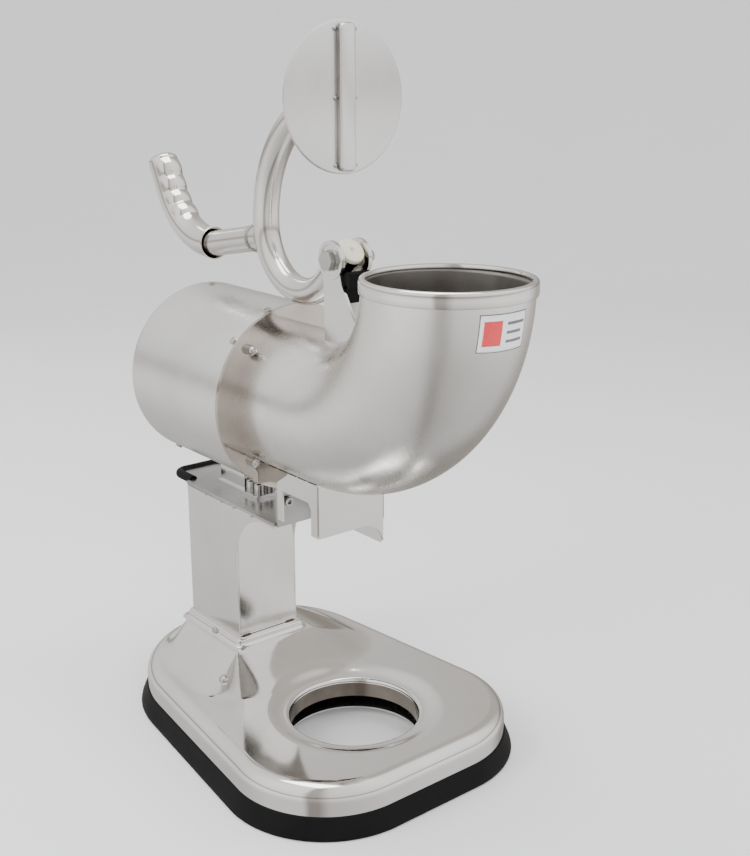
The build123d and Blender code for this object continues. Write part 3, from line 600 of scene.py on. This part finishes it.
def arm_points():
    """Centreline of the C-shaped tube from its nose at the pivot to the press plate."""
    ahead = direction(ARM_HEADING)
    pivot = Vector((PIVOT.y, PIVOT.z))
    nose, bend_start = pivot - ahead * NOSE_LENGTH, pivot + ahead * NOSE_RUN
    low_bend = bend_points(bend_start, ARM_HEADING, LOW_BEND_R, LOW_BEND_TURN)
    high_bend = bend_points(low_bend[-1], ARM_HEADING + LOW_BEND_TURN, HIGH_BEND_R, HIGH_BEND_TURN)
    end = Vector((plate_high.y, high_bend[-1].y))
    bends = low_bend[:-1] + high_bend[:-1]
    return line_points(nose, bend_start, RUN_STEP) + bends + line_points(high_bend[-1], end, RUN_STEP) + [end]


def handle_points():
    """Centreline of the handle: straight out of the C, round the bend and up to its tip."""
    start, bend_start = Vector((SHIFT + 0.062, 0.4865)), Vector((SHIFT + 0.143, 0.4722))
    arc = bend_points(bend_start, HANDLE_HEADING, HANDLE_BEND_R, HANDLE_TURN, 2.0)
    tip = arc[-1] + direction(HANDLE_HEADING + HANDLE_TURN) * TIP_LENGTH
    return line_points(start, bend_start, RUN_STEP), arc, line_points(arc[-1], tip, 0.001) + [tip]


def build_grip():
    """The pressed steel grip: finger swells inside its bend, a rolled lip at its open lower end."""
    _, arc, tip = handle_points()
    skip = ceil(GRIP_START * (len(arc) - 1))
    points = arc[skip:-1] + tip
    total = sum((b - a).length for a, b in zip(points, points[1:]))

    def radius_at(length, angle):
        lip = 0.0014 * smoothstep((0.0034 - length) / 0.0012)
        end = total - length
        close = 0.0036 * (1 - min(end / 0.0045, 1.0)) ** 2
        radius = GRIP_R + lip - close
        facing = smoothstep((cos(angle - pi / 2) - 0.35) / 0.50)
        for i in range(SWELLS):
            spot = (end - SWELL_FIRST - SWELL_PITCH * i) / SWELL_HALF
            if abs(spot) < 1:
                radius += SWELL_HEIGHT * facing * (1 - spot * spot) ** 0.8
        return radius

    shell = swept("grip_shell", resample(points, 0.0009), radius_at, cap_start=False)
    thicken(shell, GRIP_SHEET)
    return shell


def resample(points, step):
    """The same line with evenly spaced points."""
    lengths = [0.0]
    for a, b in zip(points, points[1:]):
        lengths.append(lengths[-1] + (b - a).length)
    count = ceil(lengths[-1] / step)
    result, k = [], 0
    for i in range(count + 1):
        target = lengths[-1] * i / count
        while k < len(lengths) - 2 and lengths[k + 1] < target:
            k += 1
        part = (target - lengths[k]) / (lengths[k + 1] - lengths[k])
        result.append(points[k].lerp(points[k + 1], min(1.0, max(0.0, part))))
    return result


RING_RIPPLES, RING_SQUASH, BEAD_TAPER = 34, 0.6, 0.002


def bead_ring(name, centre, axis, radius, thickness):
    """A weld bead round a joint, with the ripples that each puddle leaves."""
    side = axis.orthogonal().normalized()
    other = axis.cross(side).normalized()
    steps, around = RING_RIPPLES * 6, 10
    verts = []
    for i in range(steps):
        a = 2 * pi * i / steps
        outward = side * cos(a) + other * sin(a)
        swell = thickness * (0.82 + 0.22 * abs(sin(a * RING_RIPPLES / 2)) + 0.06 * sin(a * 5.3))
        for k in range(around):
            b = 2 * pi * k / around
            offset = outward * (radius + swell * RING_SQUASH * cos(b)) + axis * (swell * sin(b))
            verts.append(centre + offset)
    faces = grid_faces(steps, around)
    last = (steps - 1) * around
    faces += [(last + k, last + (k + 1) % around, (k + 1) % around, k) for k in range(around)]
    return new_object(name, verts, faces)


def bead_line(name, start, end, thickness, ripple=0.0024):
    """A straight weld bead that thins out at both ends."""
    start, end = Vector(start), Vector(end)
    along = (end - start).normalized()
    side = along.orthogonal().normalized()
    other = along.cross(side)
    length = (end - start).length
    steps, around = ceil(length / (ripple / 5)), 8
    verts = []
    for i in range(steps + 1):
        s = length * i / steps
        taper = min(1.0, s / BEAD_TAPER, (length - s) / BEAD_TAPER)
        swell = thickness * (0.2 + 0.8 * max(0.0, taper)) * (0.8 + 0.25 * abs(sin(pi * s / ripple)))
        for k in range(around):
            b = 2 * pi * k / around
            verts.append(start + along * s + (side * cos(b) + other * sin(b)) * swell)
    faces = grid_faces(steps + 1, around) + [tuple(range(around))]
    faces.append(tuple(steps * around + k for k in range(around)))
    return new_object(name, verts, faces)


def arm_radius(length, angle):
    """The arm tube's radius, with its front edge broken."""
    return ARM_R - 0.0008 * max(0.0, 1 - length / 0.001)


arm = swept("arm_bend", resample(arm_points(), ARM_STEP), arm_radius)
place(arm, tube_steel, "press_arm", "satin_steel", "arm_tube")
stub, bend, _ = handle_points()
handle = swept("handle_bar", resample(stub + bend, ARM_STEP), lambda length, angle: ARM_R)
place(handle, tube_steel, "press_arm", "satin_steel", "handle_tube")
place(build_grip(), grip_steel, "press_arm", "polished_steel", "grip")


def build_press_plate():
    """The round plate with a softly rounded edge."""
    radius, back, front = plate_high.x, plate_high.y, plate_low.y
    edge = 0.0007
    profile = [(0.0, front), (radius - edge * 2, front), (radius - edge, front + 0.0002)]
    profile += [(radius, front + edge), (radius, back - edge), (radius - edge, back - 0.0002)]
    profile += [(radius - edge * 2, back), (0.0, back)]
    return lathe("press_disc", profile, Vector((0, 0, PLATE_CENTRE_Z)), "Y", 160)


RIB_CORNER, RIB_SHEET = 0.005, 0.0005


def build_rib(name, inset, front, closed):
    """The stiffening rib on the plate: round ends, straight walls and a soft front edge."""
    low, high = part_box("press_rib")
    half_x, half_z = (high.x - low.x) / 2 - inset, (high.z - low.z) / 2 - inset
    rows = []
    for grow, y in ((0.0, plate_low.y), (0.0, front + 0.0012), (-0.0004, front + 0.0003), (-0.0012, front)):
        plan = rounded_rectangle(half_x + grow, half_z + grow, RIB_CORNER + grow, 8)
        rows.append([(x, y, (low.z + high.z) / 2 + z) for x, z in plan])
    count = len(rows[0])
    faces = grid_faces(len(rows), count)
    if closed:
        faces.append(tuple(range((len(rows) - 1) * count, len(rows) * count)))
    return new_object(name, [v for row in rows for v in row], faces, sharp_deg=60)


place(build_press_plate(), plate_steel, "press_arm", "polished_steel", "press_plate")
rib_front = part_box("press_rib")[0].y
rib_strip = build_rib("rib_strip", RIB_SHEET, rib_front, closed=True)
place(rib_strip, plate_steel, "press_arm", "polished_steel", "press_rib")
# painted reflection: the rib's side wall takes the darker weld steel to paint in the dark it reflects
rib_wall = build_rib("rib_wall", 0.0, rib_front + 2 * RIB_SHEET, closed=False)
thicken(rib_wall, 0.0004)
place(rib_wall, weld_and_painted_reflection_steel, "press_arm", "polished_steel")


# ---- CAD pieces that keep their shape, with their edges broken ----------------------------
def softened(node, width):
    """A copy of a CAD piece whose sharp edges carry a small round, as deburred metal has."""
    mesh = nodes[node].data.copy()
    mesh.materials.clear()
    work = bmesh.new()
    work.from_mesh(mesh)
    bmesh.ops.remove_doubles(work, verts=work.verts, dist=1e-6)
    bmesh.ops.dissolve_limit(work, angle_limit=radians(1.0), verts=work.verts, edges=work.edges)
    work.to_mesh(mesh)
    work.free()
    obj = bpy.data.objects.new(node + "_finished", mesh)
    bpy.context.scene.collection.objects.link(obj)
    modifier = obj.modifiers.new("edges", "BEVEL")
    modifier.width = width
    modifier.segments = 2
    modifier.limit_method = "ANGLE"
    modifier.angle_limit = radians(35)
    modifier.use_clamp_overlap = True
    weighted = obj.modifiers.new("shading", "WEIGHTED_NORMAL")
    weighted.weight = 100
    weighted.keep_sharp = True
    obj.data.shade_smooth()
    apply_modifiers(obj)
    return obj


SOFTENED = {
    "column_left": (sheet_steel, 0.0005), "column_right": (sheet_steel, 0.0005),
    # painted shade: the shelf and the mount plate take the darker shelf steel
    "top_shelf": (shelf_painted_shade_steel, 0.0006), "front_mount_plate": (shelf_painted_shade_steel, 0.0005),
    "chute_left": (sheet_steel, 0.0005), "chute_right": (sheet_steel, 0.0005),
    "chute_front": (sheet_steel, 0.0005), "cradle": (sheet_steel, 0.0006),
    "bracket_ear_left": (sheet_steel, 0.0006), "bracket_ear_right": (sheet_steel, 0.0006),
    "pivot_bolt": (bolt_steel, 0.0005), "pivot_nut": (bolt_steel, 0.0005),
    "cradle_screws": (bolt_steel, 0.0005), "mount_screws": (bolt_steel, 0.0004),
    "sleeve_screws": (bolt_steel, 0.0006), "foot_screws": (bolt_steel, 0.0006),
    "switch_body": (black_plastic, 0.0006), "switch_rocker": (red_plastic, 0.0008),
    "cord_gland": (black_plastic, 0.0008),
}
slot_of = {part["node"]: part["material_slot"] for part in frame["record"]["subparts"]}
body_of = {node: body for body, names in frame["record"]["behaviour"]["bodies"].items() for node in names}
for node, (material, width) in SOFTENED.items():
    place(softened(node, width), material, body_of[node], slot_of[node], node)

# ---- welds --------------------------------------------------------------------------------
SIDES = ((-1, "left"), (1, "right"))
RING_WELD_LIFT = 0.0002
HANDLE_JOINT = Vector((0, SHIFT + 0.0745, 0.4843))
SHELF_WELD_X, SHELF_WELD_FRONT, SHELF_WELD_SUNK = 0.0362, 0.075, 0.0006
FOOT_WELD_Z = CROWN_Z + 0.0086
TICK_X, TICK_LENGTH, TICK_SUNK = 0.0375, 0.0045, 0.0012
TICK_Y = (-0.078, -0.046, -0.024, 0.006)        # from the column's middle
SEAM_PARTS = 5

handle_axis = Vector((0, *direction(HANDLE_HEADING)))
weld = bead_ring("handle_weld", HANDLE_JOINT, handle_axis, ARM_R + RING_WELD_LIFT, 0.0019)
place(weld, weld_and_painted_reflection_steel, "press_arm", "satin_steel")
plate_joint = Vector((0, plate_high.y, PLATE_CENTRE_Z))
weld = bead_ring("plate_weld", plate_joint, Vector((0, 1, 0)), ARM_R + RING_WELD_LIFT, 0.0018)
place(weld, weld_and_painted_reflection_steel, "press_arm", "satin_steel")

foot_low, foot_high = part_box("column_front")
chute_low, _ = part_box("chute_left")
apron_low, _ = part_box("chute_front")


def under_elbow(x, y):
    """A point on the underside of the hopper tube at one place of the plan."""
    reach = (TUBE_R ** 2 - x ** 2) ** 0.5
    turn = max(0.0, min(1.0, (HOPPER_Y + BEND_R - y) / (BEND_R + reach)))
    return Vector((x, y, AXIS_Z + BEND_R - (1 - turn ** 2) ** 0.5 * (BEND_R + reach)))


def build_shelf_weld(side, end):
    """The bead between the column's side and the shelf."""
    x, z = side * SHELF_WELD_X, column_high.z - SHELF_WELD_SUNK
    start, stop = (x, column_low.y + SHELF_WELD_FRONT, z), (x, column_high.y - 0.001, z)
    return bead_line("shelf_weld_" + end, start, stop, 0.0010)


def build_foot_weld(side, end):
    """A short burnt bead at one end of the column's front foot."""
    y = foot_low.y - 0.0004
    near, far = side * (foot_high.x - 0.0125), side * (foot_high.x - 0.001)
    return bead_line("foot_weld_" + end, (near, y, FOOT_WELD_Z), (far, y, FOOT_WELD_Z), 0.0011)


def build_edge_ticks(side, end):
    """Spot welds across the top edge of the column's side."""
    x, z = side * TICK_X, column_high.z - TICK_SUNK
    ticks = []
    for y in TICK_Y:
        start, stop = (x, CROWN_Y + y, z), (x, CROWN_Y + y + TICK_LENGTH, z)
        ticks.append(bead_line("tick", start, stop, 0.0012, 0.0015))
    return join("edge_ticks_" + end, ticks)


def build_chute_welds(side, end):
    """The burnt seam where the chute meets the hopper, and the bead down the chute's front corner."""
    x = side * abs(chute_low.x)
    start, stop = FLANGE_Y - 0.003, apron_low.y + 0.001
    stops = [under_elbow(x, start + (stop - start) * i / SEAM_PARTS) for i in range(SEAM_PARTS + 1)]
    seam = [bead_line("seam", a, b, 0.0011) for a, b in zip(stops, stops[1:])]
    y, foot, top = apron_low.y + 0.0006, max(chute_low.z, apron_low.z) + 0.002, stops[-1].z - 0.001
    corner = bead_line("chute_corner_" + end, (x, y, foot), (x, y, top), 0.0009)
    return join("chute_seam_" + end, seam), corner


for side, end in SIDES:
    place(build_shelf_weld(side, end), weld_and_painted_reflection_steel, "stand", "satin_steel")
    place(build_foot_weld(side, end), burnt_weld, "stand", "satin_steel")
    seam, corner = build_chute_welds(side, end)
    place(seam, burnt_weld, "stand", "satin_steel")
    place(corner, weld_and_painted_reflection_steel, "stand", "satin_steel")
    place(build_edge_ticks(side, end), bolt_steel, "stand", "satin_steel")


# ---- cushion under the arm's nose ---------------------------------------------------------
CUSHION_GAP, CUSHION_FRONT, CUSHION_TOP, CUSHION_SUNK = 0.0012, 0.002, 0.0100, 0.002


def build_cushion():
    """The rubber saddle on the stop pad, hollowed so that the arm's plug turns clear of it."""
    low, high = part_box("stop_pad")
    reaches = [Vector((v.co.y - PIVOT.y, v.co.z - PIVOT.z)).length for v in nodes["end_plug"].data.vertices]
    saddle_r = max(reaches) + CUSHION_GAP
    front, foot = low.y - CUSHION_FRONT, high.z - CUSHION_SUNK
    profile = [(front, foot), (front, PIVOT.z - CUSHION_TOP)]
    for i in range(13):
        a = radians(-152 + 62 * i / 12)
        profile.append((PIVOT.y + saddle_r * cos(a), PIVOT.z + saddle_r * sin(a)))
    profile.append((profile[-1][0], foot))
    count, half = len(profile), (high.x - low.x) / 2
    verts = [(side * half, y, z) for side in (-1, 1) for y, z in profile]
    faces = grid_faces(2, count) + [tuple(range(count)), tuple(range(count, 2 * count))]
    return new_object("stop_cushion", verts, faces, sharp_deg=30)


place(build_cushion(), rubber, "stand", "black_rubber")

# ---- remaining CAD nodes ------------------------------------------------------------------
SLOT_MATERIAL = {
    "polished_steel": mirror_steel, "satin_steel": sheet_steel, "fastener_steel": bolt_steel,
    "black_rubber": rubber, "cream_nylon": nylon, "black_plastic": black_plastic,
    "rocker_plastic": red_plastic, "zinc_plate": zinc, "core_steel": lamination,
    "copper_wire": copper, "cast_aluminium": aluminium, "capacitor_can": can_plastic,
}
# front_flange gets the brown steel that paints in its reflections
NODE_MATERIAL = {"motor_sleeve": sleeve_steel, "rear_cover": sleeve_steel, "front_flange": flange_painted_reflection_steel}
for name, obj in nodes.items():
    material = NODE_MATERIAL.get(name, SLOT_MATERIAL[slot_of[name]])
    if not obj.material_slots:
        obj.data.materials.append(material)
    for slot in obj.material_slots:
        slot.material = material


# ---- label on the hopper ------------------------------------------------------------------
LABEL_THETA, LABEL_PHI = radians(8.2), radians(-3)
LABEL_X, LABEL_Z = 0.047 / 2, 0.031 / 2         # half sizes
LABEL_BORDER, LABEL_FILM = 0.0008, 0.00012


def label_patch(name, left, right, low, high, lift):
    """A thin rectangle that follows the bend's skin, placed in the label's own coordinates."""
    across, up, verts = 24, 16, []
    ring_r = BEND_R + TUBE_R * cos(LABEL_PHI)
    for j in range(up + 1):
        for i in range(across + 1):
            u = left + (right - left) * i / across
            v = low + (high - low) * j / up
            verts.append(bend_surface(LABEL_THETA - v / ring_r, LABEL_PHI + u / TUBE_R, lift))
    patch = new_object(name, verts, grid_faces(up + 1, across + 1, wrap=False), sharp_deg=80)
    thicken(patch, LABEL_FILM, 1.0)
    return patch


field_x, field_z = LABEL_X - LABEL_BORDER, LABEL_Z - LABEL_BORDER
LABEL_PIECES = [
    ("label_edge", -LABEL_X, LABEL_X, -LABEL_Z, LABEL_Z, 0.00006, vinyl_grey),
    ("label_field", -field_x, field_x, -field_z, field_z, 0.00014, vinyl_white),
    ("label_block", -LABEL_X + 0.004, -0.003, -LABEL_Z + 0.0055, LABEL_Z - 0.0055, 0.00022, vinyl_red),
    ("label_bar_1", 0.002, LABEL_X - 0.003, 0.0060, 0.0084, 0.00022, vinyl_grey),
    ("label_bar_2", 0.002, LABEL_X - 0.006, -0.0012, 0.0012, 0.00022, vinyl_grey),
    ("label_bar_3", 0.002, LABEL_X - 0.004, -0.0084, -0.0060, 0.00022, vinyl_grey),
]
for name, left, right, low, high, lift, material in LABEL_PIECES:
    place(label_patch(name, left, right, low, high, lift), material, "stand", "polished_steel")


# ---- floor, light and camera --------------------------------------------------------------
def build_floor():
    """A pale floor that sweeps up all round the machine, as studio paper does."""
    rings, spokes, radius, flat, rise, drop = 60, 96, 7.0, 2.4, 0.22, 0.0002
    verts = [(0.0, 0.0, -drop)] * spokes
    for r in range(1, rings + 1):
        distance = radius * r / rings
        height = rise * max(0.0, distance - flat) ** 2 - drop
        for c in range(spokes):
            a = 2 * pi * c / spokes
            verts.append((distance * cos(a), distance * sin(a), height))
    floor = new_object("floor", verts, grid_faces(rings + 1, spokes))
    material, tree, shader = material_with_nodes("floor_paper")
    tint = add_noise(tree, 3, 3)
    pale = ramp(tree, tint.outputs["Fac"], [(0.3, (0.86, 0.87, 0.88)), (0.7, (0.88, 0.885, 0.89))])
    tree.links.new(pale, shader.inputs["Base Color"])
    shader.inputs["Roughness"].default_value = 0.75
    paint(floor, material)
    floor.visible_glossy = False


def softbox(name, location, size, power, mirrored):
    """A rectangular area light that points at the machine. Polished metal shows it only if mirrored."""
    light = bpy.data.lights.new(name, "AREA")
    light.shape = "RECTANGLE"
    light.size, light.size_y = size
    light.energy = power
    obj = bpy.data.objects.new(name, light)
    obj.location = location
    aim = Vector(LIGHT_TARGET) - Vector(location)
    obj.rotation_euler = aim.to_track_quat("-Z", "Y").to_euler()
    obj.visible_glossy = mirrored
    bpy.context.scene.collection.objects.link(obj)


def build_world():
    """A soft studio: plain and pale to the eye, with dim warm bands that only reflections show."""
    world = bpy.data.worlds.new("studio")
    bpy.context.scene.world = world
    world.use_nodes = True
    tree = world.node_tree
    background = tree.nodes["Background"]
    coords = tree.nodes.new("ShaderNodeTexCoord")
    split = tree.nodes.new("ShaderNodeSeparateXYZ")
    tree.links.new(coords.outputs["Generated"], split.inputs["Vector"])
    height = map_range(tree, split.outputs["Z"], 0.0, 1.0, -1.0, 1.0)
    levels = ramp(tree, height, [
        (0.00, (0.38, 0.37, 0.36)), (0.24, (0.60, 0.59, 0.58)), (0.40, (0.90, 0.90, 0.89)),
        (0.47, (0.84, 0.83, 0.82)), (0.50, (0.42, 0.39, 0.36)), (0.535, (0.44, 0.41, 0.38)),
        (0.57, (0.82, 0.82, 0.82)), (0.72, (0.92, 0.92, 0.92)), (1.0, (1.0, 1.0, 1.0)),
    ])
    around = tree.nodes.new("ShaderNodeTexGradient")
    around.gradient_type = "RADIAL"
    tree.links.new(coords.outputs["Generated"], around.inputs["Vector"])
    panels = ramp(tree, around.outputs["Fac"], [
        (0.00, (1.0, 1.0, 1.0)), (0.07, (0.96, 0.96, 0.96)), (0.09, (0.38, 0.36, 0.34)),
        (0.12, (0.38, 0.36, 0.34)), (0.155, (0.76, 0.75, 0.74)), (0.34, (0.98, 0.98, 0.98)),
        (0.46, (0.90, 0.90, 0.90)), (0.53, (0.42, 0.39, 0.37)), (0.60, (0.40, 0.38, 0.36)),
        (0.70, (0.68, 0.67, 0.66)), (0.86, (0.80, 0.80, 0.80)), (0.95, (1.0, 1.0, 1.0)),
    ])
    product = tree.nodes.new("ShaderNodeMix")
    product.data_type = "RGBA"
    product.blend_type = "MULTIPLY"
    product.inputs["Factor"].default_value = 1.0
    tree.links.new(levels, product.inputs["A"])
    tree.links.new(panels, product.inputs["B"])
    studio = product.outputs["Result"]
    seen = tree.nodes.new("ShaderNodeLightPath")
    mix = tree.nodes.new("ShaderNodeMix")
    mix.data_type = "RGBA"
    tree.links.new(seen.outputs["Is Camera Ray"], mix.inputs["Factor"])
    tree.links.new(studio, mix.inputs["A"])
    mix.inputs["B"].default_value = (0.90, 0.92, 0.94, 1.0)
    tree.links.new(mix.outputs["Result"], background.inputs["Color"])
    background.inputs["Strength"].default_value = 1.55


LIGHT_TARGET = (0, 0, 0.32)
LIGHTS = [
    ("key_left", (-1.7, 0.2, 1.2), (1.0, 1.3), 22, False),
    ("fill_right", (1.5, -1.2, 0.8), (0.5, 1.5), 11, False),
    ("front_strip", (-0.9, -1.9, 1.0), (0.28, 1.4), 11, False),
    ("top_panel", (0.0, 0.1, 2.0), (1.2, 1.2), 20, True),
    ("back_panel", (-0.7, 1.9, 1.3), (1.2, 0.8), 12, False),
]
build_floor()
build_world()
for light in LIGHTS:
    softbox(*light)

camera_data = bpy.data.cameras.new("camera")
camera_data.lens = 51.17
camera_data.sensor_width = 36
camera = bpy.data.objects.new("camera", camera_data)
camera.location = (-0.6465, SHIFT - 0.9054, 0.6433)
camera.rotation_euler = (radians(73.374), 0, radians(-38.94))
bpy.context.scene.collection.objects.link(camera)
bpy.context.scene.camera = camera
